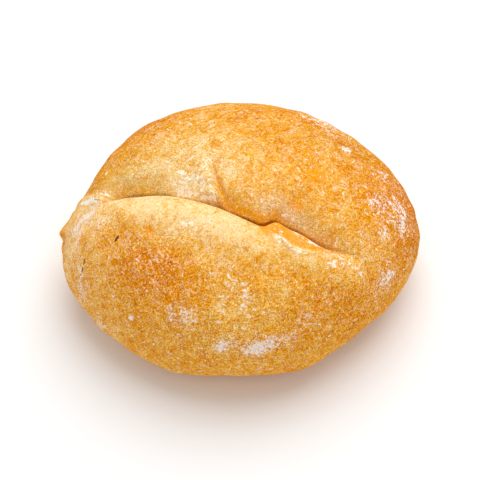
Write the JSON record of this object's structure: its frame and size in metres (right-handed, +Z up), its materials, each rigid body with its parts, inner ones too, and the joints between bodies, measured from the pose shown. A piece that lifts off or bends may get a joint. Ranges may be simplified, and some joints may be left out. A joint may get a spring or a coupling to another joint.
{
  "type": "bread roll",
  "caption": "Oval hand-shaped wheat roll with a flat underside and a long folded crease across its top, closed by an overlapping lip.",
  "frame": {"origin": "middle of the roll's box, on the surface that it rests on", "axes": "+X along the roll, +Y across it towards the far lobe, +Z up"},
  "size_m": [0.1138, 0.0922, 0.0529],
  "materials": {
    "crust": "golden wheat crust, dry and finely grained, paler along the crease, with thin patches of baked-on flour"
  },
  "bodies": {
    "root": {"bread_roll": "crust"}
  },
  "joints": []
}
